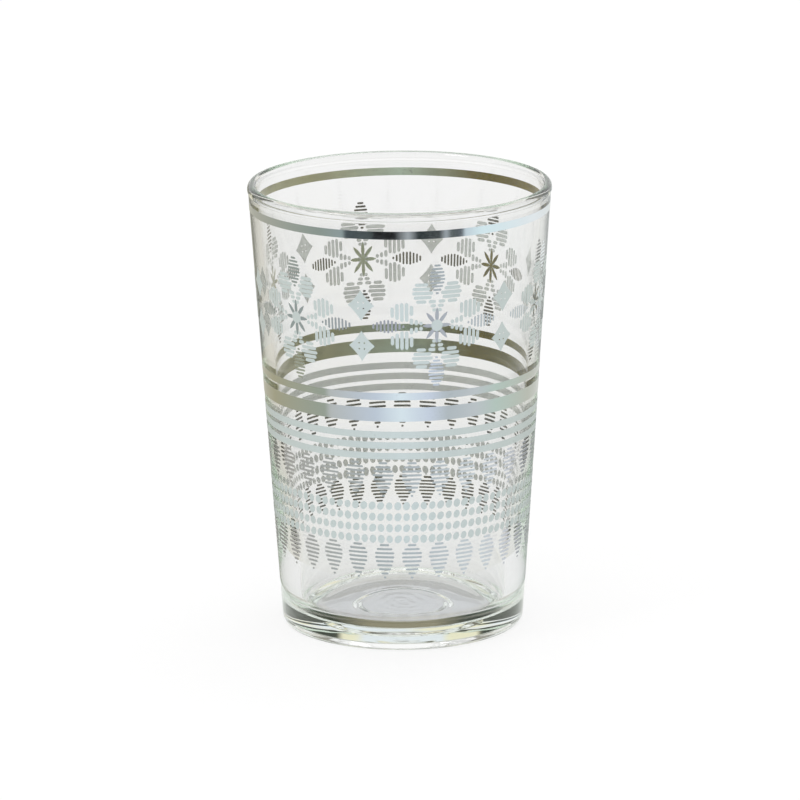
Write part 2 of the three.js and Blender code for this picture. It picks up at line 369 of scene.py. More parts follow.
def film_group():
    """Flat faces made into a closed film and wrapped round the tapered wall.

    Before the wrap, X is the distance round the row's radius, Y is the height and Z tells the film's
    inside, at 0, from its outside, at 1. The film stands a hair off the glass, so that light reaches its
    inside face.
    """
    inputs = [GEOMETRY, *floats("Row radius"), *FILM_INPUTS]
    tree, given, end = new_tree("Film on the wall", "GeometryNodeTree", inputs, [GEOMETRY])
    flat = given["Geometry"]
    raised_inputs = {"Mesh": flat, "Offset": (0.0, 0.0, 1.0), "Offset Scale": 1.0, "Individual": False}
    raised = result(tree, "GeometryNodeExtrudeMesh", raised_inputs, mode="FACES")
    underside = result(tree, "GeometryNodeFlipFaces", {0: flat})
    both = add(tree, "GeometryNodeJoinGeometry")
    tree.links.new(raised, both.inputs[0])
    tree.links.new(underside, both.inputs[0])
    weld_inputs = {"Geometry": both.outputs[0], "Distance": WELD_REACH}
    slab = result(tree, "GeometryNodeMergeByDistance", weld_inputs)

    x, height, layer = split(tree, result(tree, "GeometryNodeInputPosition"))
    is_inside = result(tree, "FunctionNodeCompare", {0: layer, 1: INSIDE_LAYER}, operation="LESS_THAN")
    marked = store(tree, slab, "inside_face", is_inside, "BOOLEAN", "FACE")

    turn = calc(tree, "DIVIDE", x, given["Row radius"])
    wall = calc(tree, "ADD", given["Foot radius"], calc(tree, "MULTIPLY", given["Wall slope"], height))
    lift = calc(tree, "ADD", given["Gap"], calc(tree, "MULTIPLY", layer, given["Thickness"]))
    radius = calc(tree, "ADD", wall, lift)
    across = calc(tree, "MULTIPLY", radius, calc(tree, "SINE", turn))
    back = calc(tree, "MULTIPLY", calc(tree, "MULTIPLY", radius, calc(tree, "COSINE", turn)), -1.0)
    place = vector(tree, across, back, height)
    wrapped = result(tree, "GeometryNodeSetPosition", {"Geometry": marked, "Position": place})

    outside_inputs = {"Geometry": realized(tree, wrapped), "Material": given["Outside finish"]}
    inside_inputs = {
        "Geometry": result(tree, "GeometryNodeSetMaterial", outside_inputs),
        "Selection": attribute(tree, "inside_face", "BOOLEAN"),
        "Material": given["Inside finish"],
    }
    feed(tree, end.inputs[0], result(tree, "GeometryNodeSetMaterial", inside_inputs))
    return tree


def wrap(tree, given, flat, end):
    """End a print tree: film on the wall, then the output."""
    names = ["Row radius", *(name for name, kind in FILM_INPUTS)]
    inputs = {name: given[name] for name in names}
    film = group_node(tree, bpy.data.node_groups["Film on the wall"], {"Geometry": flat, **inputs})
    feed(tree, end.inputs[0], realized(tree, film.outputs[0]))


def in_row(tree, given, geometry):
    """The motif repeated along its row."""
    inputs = {name: given[name] for name, kind in REPEAT_INPUTS}
    row = group_node(tree, bpy.data.node_groups["Row of motifs"], {"Geometry": geometry, **inputs})
    return row.outputs[0]


def print_tree(name, own):
    """A print tree with the inputs that every print takes, and its own."""
    inputs = [GEOMETRY, *REPEAT_INPUTS, *FILM_INPUTS, *own]
    return new_tree(name, "GeometryNodeTree", inputs, [GEOMETRY])


def near_one(tree, given, identity, seed):
    """A number near 1 that differs by chance from one line or bead to the next."""
    low = calc(tree, "SUBTRACT", 1.0, given["Unevenness"])
    high = calc(tree, "ADD", 1.0, given["Unevenness"])
    return random_value(tree, low, high, identity, seed)


# A strip's points along and across, the share of it that is straight, and how far its round end turns
STRIP_COLUMNS = 11
STRIP_ROWS = 3
STRIP_STRAIGHT = 0.6
STRIP_END_TURN = math.radians(76)


def hatch_tree():
    """Round-ended strips on points. Each point has half_length, half_width and turn."""
    tree, given, end = print_tree("Hatched print", [*floats("Unevenness"), SEED])
    points = in_row(tree, given, given["Geometry"])
    points = store(tree, points, "line", result(tree, "GeometryNodeInputIndex"), "INT")

    grid_inputs = {"Size X": 2.0, "Size Y": 2.0, "Vertices X": STRIP_COLUMNS, "Vertices Y": STRIP_ROWS}
    grid = result(tree, "GeometryNodeMeshGrid", grid_inputs)
    position = result(tree, "GeometryNodeInputPosition")
    strip = store(tree, grid, "on_strip", position, "FLOAT_VECTOR")
    strips = on_points(tree, points, strip)

    on_strip = attribute(tree, "on_strip", "FLOAT_VECTOR")
    along, across, _ = split(tree, on_strip)
    line = attribute(tree, "line", "INT")
    longer = near_one(tree, given, line, given["Seed"])
    wider = near_one(tree, given, line, calc(tree, "ADD", given["Seed"], 1.0))
    half_length = calc(tree, "MULTIPLY", attribute(tree, "half_length"), longer)
    half_width = calc(tree, "MULTIPLY", attribute(tree, "half_width"), wider)

    # The middle of the strip is straight, and its last columns turn through a round end.
    size = calc(tree, "ABSOLUTE", along)
    past = calc(tree, "MAXIMUM", calc(tree, "SUBTRACT", size, STRIP_STRAIGHT), 0.0)
    end_turn = calc(tree, "MULTIPLY", past, STRIP_END_TURN / (1.0 - STRIP_STRAIGHT))
    reach = calc(tree, "MAXIMUM", calc(tree, "SUBTRACT", half_length, half_width), 0.0)
    inner = calc(tree, "MINIMUM", calc(tree, "DIVIDE", size, STRIP_STRAIGHT), 1.0)
    cap = calc(tree, "MULTIPLY", half_width, calc(tree, "SINE", end_turn))
    distance = calc(tree, "ADD", calc(tree, "MULTIPLY", inner, reach), cap)
    x = calc(tree, "MULTIPLY", calc(tree, "SIGN", along), distance)
    y = calc(tree, "MULTIPLY", across, calc(tree, "MULTIPLY", half_width, calc(tree, "COSINE", end_turn)))
    turn_inputs = {"Vector": vector(tree, x, y), "Angle": attribute(tree, "turn")}
    shaped = result(tree, "ShaderNodeVectorRotate", turn_inputs, rotation_type="Z_AXIS")
    point = result(tree, "ShaderNodeVectorMath", {0: position, 1: on_strip}, operation="SUBTRACT")
    place = result(tree, "ShaderNodeVectorMath", {0: point, 1: shaped}, operation="ADD")
    wrap(tree, given, result(tree, "GeometryNodeSetPosition", {"Geometry": strips, "Position": place}), end)
    return tree


def outline_tree():
    """Filled outlines, with any holes, cut fine enough to follow the wall."""
    tree, given, end = print_tree("Outlined print", [("Fineness", "NodeSocketInt")])
    curves = result(tree, "GeometryNodeMeshToCurve", {"Mesh": given["Geometry"]})
    filled = result(tree, "GeometryNodeFillCurve", {"Curve": curves})
    fine = result(tree, "GeometryNodeSubdivideMesh", {"Mesh": filled, "Level": given["Fineness"]})
    wrap(tree, given, in_row(tree, given, fine), end)
    return tree


BEAD_SIDES = 16


def bead_tree():
    """Oval beads on points, each tilted a little by chance."""
    own = [*floats("Half width", "Half height", "Slant", "Tilt", "Unevenness"), SEED]
    tree, given, end = print_tree("Beaded print", own)
    points = in_row(tree, given, given["Geometry"])
    circle_inputs = {"Vertices": BEAD_SIDES, "Radius": 1.0}
    circle = result(tree, "GeometryNodeMeshCircle", circle_inputs, fill_type="TRIANGLE_FAN")
    size = vector(tree, given["Half width"], given["Half height"], 1.0)
    oval = result(tree, "GeometryNodeTransform", {"Geometry": circle, "Scale": size})
    index = result(tree, "GeometryNodeInputIndex")
    lowest = calc(tree, "SUBTRACT", given["Slant"], given["Tilt"])
    highest = calc(tree, "ADD", given["Slant"], given["Tilt"])
    tilt = random_value(tree, lowest, highest, index, given["Seed"])
    grown = near_one(tree, given, index, calc(tree, "ADD", given["Seed"], 1.0))
    varied = {"Rotation": vector(tree, z=tilt), "Scale": vector(tree, grown, grown, 1.0)}
    wrap(tree, given, on_points(tree, points, oval, varied), end)
    return tree


def print_trees():
    """Build the shared groups and the print trees once."""
    if "Film on the wall" not in bpy.data.node_groups:
        repeat_group()
        film_group()
        hatch_tree()
        outline_tree()
        bead_tree()


# Materials

def object_place(tree):
    """The place of a point in its object's own frame."""
    return add(tree, "ShaderNodeTexCoord").outputs["Object"]


def noise(tree, place, scale, detail):
    """A noise texture's value."""
    return result(tree, "ShaderNodeTexNoise", {"Vector": place, "Scale": scale, "Detail": detail})


def remap(tree, value, low, high, to_low, to_high):
    """A value carried from one range to another and held at its ends."""
    return result(tree, "ShaderNodeMapRange", {0: value, 1: low, 2: high, 3: to_low, 4: to_high})


def bump(tree, height, strength, depth):
    """A normal that follows a height."""
    return result(tree, "ShaderNodeBump", {"Height": height, "Strength": strength, "Distance": depth})


def between(tree, factor, first, second):
    """A colour between two others."""
    mix = add(tree, "ShaderNodeMix", {"Factor": factor, 6: first, 7: second}, data_type="RGBA")
    return mix.outputs[2]


def tone_ramp(tree, place, stops):
    """A colour that runs through the stops' tones. The first stop stands at 0 and the last at 1."""
    ramp = add(tree, "ShaderNodeValToRGB", {0: place})
    points = ramp.color_ramp.elements
    points[0].color = (*stops[0][1], 1.0)
    points[1].color = (*stops[-1][1], 1.0)
    for where, tone in stops[1:-1]:
        points.new(where).color = (*tone, 1.0)
    return ramp.outputs[0]


# The inks' clouds, grain and worn specks
INK_CLOUD_SCALE = 260.0
INK_GRAIN_SCALE = 2600.0
INK_GRAIN_RANGE = (0.3, 0.7)
INK_GRAIN_SPREAD = 0.25
INK_GRAIN_STRENGTH = 0.06
INK_GRAIN_DEPTH = 0.02 * MM
SPECK_RANGE = (0.37, 0.43)
SPECK_WEAR = 2.5


def mottle_group():
    """Uneven ink: broad clouds, fine grain and a mask of worn specks."""
    name = "Uneven ink"
    if name in bpy.data.node_groups:
        return bpy.data.node_groups[name]
    inputs = floats("Cloud scale", "Grain scale")
    tree, given, end = new_tree(name, "ShaderNodeTree", inputs, floats("Cloud", "Grain", "Specks"))
    place = object_place(tree)
    cloud = noise(tree, place, given["Cloud scale"], 3.0)
    grain = noise(tree, place, given["Grain scale"], 2.0)
    specks = remap(tree, calc(tree, "MULTIPLY", cloud, grain), *SPECK_RANGE, 0.0, 1.0)
    for label, value in (("Cloud", cloud), ("Grain", grain), ("Specks", specks)):
        feed(tree, end.inputs[label], value)
    return tree


def scaled(value, factor):
    """A colour made lighter or darker, with full alpha."""
    return (*(min(1.0, channel * factor) for channel in value), 1.0)


def new_material(name):
    """An empty node material with its output."""
    material = bpy.data.materials.new(name)
    material.use_nodes = True
    tree = material.node_tree
    tree.nodes.clear()
    return material, tree, tree.nodes.new("ShaderNodeOutputMaterial")


def ink_material(name, tones, roughness, spread, metallic=0.0, glow=0.0):
    """A fired ink: tones that run from left to right as painted light, shade and reflections that differ
    from side to side, and drift in clouds, worn specks and a fine grain.

    The spread is how far the tones drift. The glow is painted light that stands for light that soaks
    through the film from its other side.
    """
    if name in bpy.data.materials:
        return bpy.data.materials[name]
    material, tree, output = new_material(name)
    x, _, _ = split(tree, object_place(tree))
    # The tones that run from left to right paint the light, shade and reflections that change from side to
    # side
    side = remap(tree, x, -RIM_RADIUS, RIM_RADIUS, 0.0, 1.0)
    ramp = tone_ramp(tree, side, [(i / (len(tones) - 1), tone) for i, tone in enumerate(tones)])
    scales = {"Cloud scale": INK_CLOUD_SCALE, "Grain scale": INK_GRAIN_SCALE}
    uneven = group_node(tree, mottle_group(), scales)
    grain = uneven.outputs["Grain"]
    cloud = remap(tree, uneven.outputs["Cloud"], 0.0, 1.0, 1.0 - spread, 1.0 + spread)
    wear = calc(tree, "MULTIPLY", uneven.outputs["Specks"], SPECK_WEAR * spread)
    worn = calc(tree, "SUBTRACT", cloud, wear)
    drift = result(tree, "ShaderNodeVectorMath", {0: ramp, "Scale": worn}, operation="SCALE")
    smooth, dull = (1.0 - INK_GRAIN_SPREAD) * roughness, (1.0 + INK_GRAIN_SPREAD) * roughness
    shader = add(tree, "ShaderNodeBsdfPrincipled", {
        "Base Color": drift,
        "Metallic": metallic,
        "Roughness": remap(tree, grain, *INK_GRAIN_RANGE, smooth, dull),
        "Normal": bump(tree, grain, INK_GRAIN_STRENGTH, INK_GRAIN_DEPTH),
        "Specular IOR Level": 0.0 if glow else 0.5,
    })
    if glow:
        tree.links.new(drift, shader.inputs["Emission Color"])
        shader.inputs["Emission Strength"].default_value = glow
        material.cycles.emission_sampling = "NONE"
    tree.links.new(shader.outputs[0], output.inputs["Surface"])
    return material


def silver_finishes():
    """Silver lustre: its bright outside, and its olive inside, whose tones from left to right are painted
    reflections and whose faint glow is painted light.
    """
    tones = bpy.context.scene.tea_glass_finishes
    outside = ink_material("silver_outside", [tones.silver] * 2, metallic=1.0, roughness=0.07, spread=0.03)
    left, right = tones.silver_back_reflection_left, tones.silver_back_reflection_right
    run = [left, left, tones.silver_back_reflection, right, right]
    return outside, ink_material("silver_inside", run, roughness=0.5, spread=0.2, glow=0.01)


def hatch_finishes():
    """Silver hatching: bright outside, and dark inside."""
    tones = bpy.context.scene.tea_glass_finishes
    outside, _ = silver_finishes()
    back = [tones.hatch_back] * 2
    return outside, ink_material("hatch_inside", back, roughness=0.5, spread=0.2, glow=0.01)


def enamel_finishes():
    """Pale enamel: its outside, darkened as painted shade and darker still towards the sides, and its
    duller inside, with a faint glow that is painted light.
    """
    tones = bpy.context.scene.tea_glass_finishes
    run = [tones.enamel_side_shade, tones.enamel, tones.enamel_side_shade]
    outside = ink_material("enamel_outside", run, roughness=0.38, spread=0.06)
    back = [tones.enamel_back] * 2
    return outside, ink_material("enamel_inside", back, roughness=0.5, spread=0.08, glow=0.15)


# The glass, its slow waves and its thin smears
GLASS_IOR = 1.52
GLASS_DENSITY = 16.0
WAVE_SCALE = 70.0
WAVE_STRENGTH = 0.15
WAVE_DEPTH = 0.05 * MM
SMEAR_SCALE = 160.0
SMEAR_STRETCH = (1.0, 1.0, 0.25)
SMEAR_RANGE = (0.45, 0.8)
SMEAR_ROUGHNESS = 0.03
SMEAR_TONES = ((0.97, 0.97, 0.97, 1.0), (0.99, 0.99, 0.99, 1.0))


def glass_material():
    """Clear soda glass with a faint green body, slow waves and thin smears."""
    material, tree, output = new_material("clear_glass")
    place = object_place(tree)
    wave = noise(tree, place, WAVE_SCALE, 1.0)
    smear_place = result(tree, "ShaderNodeMapping", {"Vector": place, "Scale": SMEAR_STRETCH})
    smear = noise(tree, smear_place, SMEAR_SCALE, 4.0)
    shader = add(tree, "ShaderNodeBsdfPrincipled", {
        "Base Color": between(tree, smear, *SMEAR_TONES),
        "Roughness": remap(tree, smear, *SMEAR_RANGE, 0.0, SMEAR_ROUGHNESS),
        "IOR": GLASS_IOR,
        "Transmission Weight": 1.0,
        "Normal": bump(tree, wave, WAVE_STRENGTH, WAVE_DEPTH),
    })
    tint = bpy.context.scene.tea_glass_finishes.glass_tint
    body = add(tree, "ShaderNodeVolumeAbsorption", {"Color": (*tint, 1.0), "Density": GLASS_DENSITY})
    tree.links.new(shader.outputs[0], output.inputs["Surface"])
    tree.links.new(body.outputs[0], output.inputs["Volume"])
    return material


# Pieces

# Edges that turn by more than this stay sharp
SHARP = math.radians(38)


def object_from(name, mesh):
    """A linked object at the origin, smooth apart from its sharp edges."""
    mesh.shade_smooth()
    mesh.set_sharp_from_angle(angle=SHARP)
    piece = bpy.data.objects.new(name, mesh)
    bpy.context.scene.collection.objects.link(piece)
    return piece


def settle(piece, slot, *nodes):
    """Put a finished piece on the glass's body, in place of the nodes it stands for. Its slot is not used.
    """
    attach(piece, BODY)
    if nodes:
        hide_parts(*nodes)


def on_circle(radius, turn, z):
    """A point round the glass. The angle runs from the front towards +X."""
    return (radius * math.sin(turn), -radius * math.cos(turn), z)


def arc(centre_r, centre_z, half_r, half_z, start, stop, steps):
    """Points on part of an ellipse, both ends included."""
    points = []
    for i in range(steps + 1):
        turn = start + (stop - start) * i / steps
        points.append((centre_r + half_r * math.cos(turn), centre_z + half_z * math.sin(turn)))
    return points


def rounded(points, radius, steps):
    """A run of corner points with each inner corner eased by a short curve."""
    out = [points[0]]
    for before, here, after in zip(points, points[1:], points[2:]):
        corner = Vector(here)
        entry = corner + (Vector(before) - corner).normalized() * radius
        leave = corner + (Vector(after) - corner).normalized() * radius
        for i in range(steps + 1):
            t = i / steps
            out.append(tuple(entry.lerp(corner, t).lerp(corner.lerp(leave, t), t)))
    out.append(points[-1])
    return out


def spaced(points, step, edge):
    """The same run with long stretches divided, and a point close to each end of a stretch."""
    out = []
    for here, after in zip(points, points[1:]):
        out.append(here)
        start, stop = Vector(here), Vector(after)
        span = (stop - start).length
        if span > step:
            count = math.ceil(span / step)
            shares = [edge / span, *(i / count for i in range(1, count)), 1.0 - edge / span]
            out.extend(tuple(start.lerp(stop, part)) for part in shares)
    out.append(points[-1])
    return out


def turned(name, profile, segments, closed):
    """A mesh turned from (radius, height) points. An open profile starts and ends on the axis."""
    vertices, rings, faces = [], [], []
    for radius, z in profile:
        if radius <= 0.0:
            rings.append([len(vertices)] * segments)
            vertices.append((0.0, 0.0, z))
        else:
            rings.append(list(range(len(vertices), len(vertices) + segments)))
            vertices.extend(on_circle(radius, math.tau * i / segments, z) for i in range(segments))
    pairs = list(zip(rings, rings[1:]))
    if closed:
        pairs.append((rings[-1], rings[0]))
    for lower, upper in pairs:
        for i in range(segments):
            j = (i + 1) % segments
            corners = [lower[i], lower[j], upper[j], upper[i]]
            faces.append(list(dict.fromkeys(corners)))
    mesh = bpy.data.meshes.new(name)
    mesh.from_pydata(vertices, [], faces)
    mesh.update()
    return mesh


GLASS_SEGMENTS = 240
RING_SEGMENTS = 240
HEEL_STEPS = 14
BEAD_STEPS = 36
NECK_POINTS = 5
WAIST_STEPS = 24
CORNER_STEPS = 14
FLOOR_STEPS = 38

# How far a corner of the section is eased to each side, and in how many steps
UNDERSIDE_EASE = (0.3 * MM, 4)
OUTER_NECK_EASE = (0.1 * MM, 3)
INNER_NECK_EASE = (0.5 * MM, 6)

# The longest stretch of the section between two points, and how close the next point is to a corner
LONGEST_STRETCH = 2.5 * MM
CORNER_MARGIN = 0.12 * MM


def underside_run(shape, foot_edge):
    """From the middle of the underside, over the mould's groove, to the flat foot."""
    inner_foot = foot_edge - shape.foot_width
    groove_half = shape.ring_width / 2
    corners = [
        (0.0, shape.punt),
        (shape.ring_radius - groove_half, shape.punt),
        (shape.ring_radius, shape.punt + shape.ring_depth),
        (shape.ring_radius + groove_half, shape.punt),
        (inner_foot - shape.punt_slope, shape.punt),
        (inner_foot, 0.0),
        (foot_edge, 0.0),
    ]
    return rounded(corners, *UNDERSIDE_EASE)


def inside_run(shape):
    """From the waist, where the wall starts to thicken, down to the middle of the floor."""
    waist = []
    for i in range(WAIST_STEPS + 1):
        t = i / WAIST_STEPS
        z = shape.waist + (shape.lower_wall - shape.waist) * t
        wall = shape.wall_at_waist + (shape.wall_at_floor - shape.wall_at_waist) * t * t * (3.0 - 2.0 * t)
        waist.append((wall_radius(z) - wall, z))
    tilt = math.atan(WALL_SLOPE)
    corner_z = shape.floor + shape.corner
    corner_r = wall_radius(corner_z) - shape.wall_at_floor - shape.corner / math.cos(tilt)
    corner = arc(corner_r, corner_z, shape.corner, shape.corner, -tilt, -math.pi / 2, CORNER_STEPS)
    floor = [(corner_r * (1.0 - i / FLOOR_STEPS), shape.floor) for i in range(1, FLOOR_STEPS)]
    return [*waist, *corner, *floor, (0.0, shape.floor)]


def glass_profile(shape):
    """The glass's section, from the middle of the underside, up the outside and down to the floor."""
    heel_centre = wall_radius(shape.heel_rise) - shape.heel_run
    underside = underside_run(shape, heel_centre)
    heel = arc(heel_centre, shape.heel_rise, shape.heel_run, shape.heel_rise, -math.pi / 2, 0.0, HEEL_STEPS)

    bead_half_r = (shape.wall_at_rim + shape.bead_out + shape.bead_in) / 2
    bead_half_z = shape.bead_height / 2
    bead_r = RIM_RADIUS - bead_half_r
    bead_z = HEIGHT - bead_half_z
    start = -math.acos(1.0 - shape.bead_out / bead_half_r)
    stop = math.pi + math.acos(1.0 - shape.bead_in / bead_half_r)
    bead = arc(bead_r, bead_z, bead_half_r, bead_half_z, start, stop, BEAD_STEPS)

    inside = inside_run(shape)
    outer_neck = rounded([heel[-1], bead[0], bead[1]], *OUTER_NECK_EASE)[1:-1]
    inner_neck = rounded([bead[-NECK_POINTS], bead[-1], inside[0]], *INNER_NECK_EASE)[1:-1]
    rim = [*outer_neck, *bead[1:1 - NECK_POINTS], *inner_neck]
    run = [*underside[:-1], *heel, *rim, *inside]
    return spaced(run, LONGEST_STRETCH, CORNER_MARGIN)


# Each wave of the inside wall: its crests round the glass, its turn in radians a metre up, and its start
WALL_WAVES = ((5, 40, 0.0), (8, -90, 1.3))

# How near the floor's height a point has to be, and how the floor's rings wander, in radians
FLAT_REACH = 0.001 * MM
RING_DRIFT = 1.5
RING_LOBES = 2
RING_START = 0.6


def ripple_inside(mesh, shape):
    """Give the inside wall the slow ripple of pressed glass."""
    low = shape.floor + shape.corner
    high = HEIGHT - 2 * shape.bead_height
    for vertex in mesh.vertices:
        x, y, z = vertex.co
        radius = math.hypot(x, y)
        if low < z < high and radius < wall_radius(z) - 0.5 * shape.wall_at_rim:
            turn = math.atan2(y, x)
            fade = math.sin(math.pi * (z - low) / (high - low))
            wave = sum(math.sin(crests * turn + rise * z + start) for crests, rise, start in WALL_WAVES)
            scale = 1.0 + shape.ripple * fade * wave / radius
            vertex.co = (x * scale, y * scale, z)


def ripple_floor(mesh, shape):
    """Give the floor the faint, uneven rings of pressed glass."""
    flat = [vertex for vertex in mesh.vertices if abs(vertex.co.z - shape.floor) < FLAT_REACH]
    reach = max(math.hypot(vertex.co.x, vertex.co.y) for vertex in flat)
    for vertex in flat:
        radius = math.hypot(vertex.co.x, vertex.co.y)
        drift = RING_DRIFT * math.sin(RING_LOBES * math.atan2(vertex.co.y, vertex.co.x) + RING_START)
        wave = math.sin(math.tau * radius / shape.ring_spacing + drift)
        vertex.co.z += shape.floor_ripple * wave * math.cos(0.5 * math.pi * radius / reach) ** 2


class TEAGLASS_OT_glass(Operator):
    """Make the clear glass body"""

    bl_idname = "teaglass.glass"
    bl_label = "Glass body"

    def execute(self, context):
        shape = context.scene.tea_glass_shape
        mesh = turned("glass", glass_profile(shape), GLASS_SEGMENTS, closed=False)
        ripple_inside(mesh, shape)
        ripple_floor(mesh, shape)
        mesh.materials.append(glass_material())
        settle(object_from("glass", mesh), GLASS_SLOT, "glass_body")
        return {"FINISHED"}


def film_ring(name, node, finishes, sizes):
    """A closed ring of film at a frame ring's heights, bright outside and dull inside."""
    low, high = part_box(node)
    inner, outer = sizes.gap, sizes.gap + sizes.thickness
    run = [(low.z, inner), (low.z, outer), (high.z, outer), (high.z, inner)]
    profile = [(wall_radius(z) + lift, z) for z, lift in run]
    mesh = turned(name, profile, RING_SEGMENTS, closed=True)
    for finish in finishes:
        mesh.materials.append(finish)
    # The last of the ring's four sides faces the glass.
    for face in mesh.polygons[3 * RING_SEGMENTS:]:
        face.material_index = 1
    return object_from(name, mesh)


class TEAGLASS_OT_bands(Operator):
    """Make the silver bands and the enamel lines round the glass"""

    bl_idname = "teaglass.bands"
    bl_label = "Bands and lines"

    def execute(self, context):
        sizes = context.scene.tea_glass_print
        for node in ("rim_band", "belt_band_narrow", "belt_band_wide"):
            settle(film_ring(f"{node}_film", node, silver_finishes(), sizes), SILVER_SLOT, node)
        for node in sorted(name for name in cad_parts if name.startswith("belt_line_")):
            settle(film_ring(f"{node}_film", node, enamel_finishes(), sizes), ENAMEL_SLOT, node)
        return {"FINISHED"}


def printed(name, base, tree_name, finishes, row, extra):
    """Run a print tree on a flat base mesh and keep the result as a plain mesh."""
    print_trees()
    tree = bpy.data.node_groups[tree_name]
    sizes = bpy.context.scene.tea_glass_print
    values = {
        **row,
        "Foot radius": FOOT_RADIUS,
        "Wall slope": WALL_SLOPE,
        "Gap": sizes.gap,
        "Thickness": sizes.thickness,
        "Outside finish": finishes[0],
        "Inside finish": finishes[1],
        **extra,
    }
    draft = bpy.data.objects.new(f"{name}_draft", base)
    bpy.context.scene.collection.objects.link(draft)
    modifier = draft.modifiers.new("Print", "NODES")
    modifier.node_group = tree
    for item in tree.interface.items_tree:
        if item.in_out == "INPUT" and item.name in values:
            modifier[item.identifier] = values[item.name]
    evaluated = draft.evaluated_get(bpy.context.evaluated_depsgraph_get())
    mesh = bpy.data.meshes.new_from_object(evaluated)
    mesh.name = name
    bpy.data.objects.remove(draft)
    for spare in ("on_strip", "line", "half_length", "half_width", "turn", "inside_face"):
        if spare in mesh.attributes:
            mesh.attributes.remove(mesh.attributes[spare])
    if not mesh.polygons:
        raise RuntimeError(f"{name} has no faces")
    return object_from(name, mesh)


def points_mesh(name, lines):
    """Points that carry the sizes of lines. Each line is x, y, half length, half width and turn."""
    mesh = bpy.data.meshes.new(name)
    mesh.from_pydata([(x, y, 0.0) for x, y, *_ in lines], [], [])
    for column, label in ((2, "half_length"), (3, "half_width"), (4, "turn")):
        values = mesh.attributes.new(label, "FLOAT", "POINT")
        values.data.foreach_set("value", [line[column] for line in lines])
    return mesh


def outline_mesh(name, loops):
    """Closed loops of flat points as edges."""
    vertices, edges = [], []
    for loop in loops:
        first = len(vertices)
        vertices.extend((x, y, 0.0) for x, y in loop)
        edges.extend((first + i, first + (i + 1) % len(loop)) for i in range(len(loop)))
    mesh = bpy.data.meshes.new(name)
    mesh.from_pydata(vertices, edges, [])
    return mesh


def row_inputs(count, step, first, height):
    """A row of motifs: how many, the angle between them, the first one's angle and the row's height."""
    return {"Count": count, "Step": step, "First": first, "Row radius": wall_radius(height)}


def flower_row():
    """The row of flowers."""
    return row_inputs(FLOWER_COUNT, FLOWER_STEP, FIRST_FLOWER, FLOWER_HEIGHT)


# Places along a star's arm that set its width, how far its widest place is pushed out, and how full it is
ARM_SHARES = (0.13, 0.25, 0.4, 0.55, 0.7, 0.84, 0.95)
ARM_SKEW = 1.16
ARM_FULLNESS = 0.8
STAR_FINENESS = 2


def eight_arm_outline(sizes):
    """The eight-armed star: slim arms, each slim at its root and widest past its middle."""
    slant = math.atan2(sizes.arm_up, sizes.arm_across)
    turns = [0.0, slant, math.pi / 2, math.pi - slant]
    lengths = [sizes.arm_across, sizes.arm_slant, sizes.arm_up, sizes.arm_slant]
    turns += [turn + math.pi for turn in turns]
    lengths += lengths
    outline = []
    for i, (turn, reach) in enumerate(zip(turns, lengths)):
        widths = [math.sin(math.pi * t ** ARM_SKEW) ** ARM_FULLNESS for t in ARM_SHARES]
        sides = [(reach * t, sizes.arm_half_width * width) for t, width in zip(ARM_SHARES, widths)]
        arm = [(a, -w) for a, w in sides] + [(reach, 0.0)] + [(a, w) for a, w in reversed(sides)]
        next_turn = turns[i + 1] if i + 1 < len(turns) else math.tau
        notch = (turn + next_turn) / 2
        cos, sin = math.cos(turn), math.sin(turn)
        outline += [(a * cos - w * sin, a * sin + w * cos) for a, w in arm]
        outline.append((sizes.arm_valley * math.cos(notch), sizes.arm_valley * math.sin(notch)))
    return outline


# Points on a side of the small star, round a pinhole and round a heart
CURVE_STEPS = 8
PINHOLE_SIDES = 8
HEART_SIDES = 28

# The heart's gap to the glass, for each unit of the star's own height off it
HEART_LIFT = 1.3


def small_star_outline(sizes):
    """The four-pointed star's hollow-sided outline."""
    points = [(sizes.small_star_across, 0.0), (0.0, sizes.small_star_up)]
    points += [(-x, -y) for x, y in points]
    outline = []
    for here, after in zip(points, points[1:] + points[:1]):
        pull_x = math.copysign(sizes.small_star_waist, here[0] + after[0])
        pull_y = math.copysign(sizes.small_star_waist, here[1] + after[1])
        for step in range(CURVE_STEPS):
            t = step / CURVE_STEPS
            weights = ((1 - t) ** 2, 2 * t * (1 - t), t ** 2)
            outline.append((
                weights[0] * here[0] + weights[1] * pull_x + weights[2] * after[0],
                weights[0] * here[1] + weights[1] * pull_y + weights[2] * after[1],
            ))
    return outline


def round_outline(x, y, radius, sides):
    """A circle of flat points."""
    turns = [math.tau * i / sides for i in range(sides)]
    return [(x + radius * math.cos(turn), y + radius * math.sin(turn)) for turn in turns]


def pinhole_outlines(sizes):
    """Four small round holes about the star's middle."""
    across, up = sizes.pinhole_across, sizes.pinhole_up
    places = [(across, up), (-across, up), (-across, -up), (across, -up)]
    return [round_outline(x, y, sizes.pinhole, PINHOLE_SIDES) for x, y in places]


def shifted(points, up):
    """The same points moved up."""
    return [(x, y + up) for x, y in points]


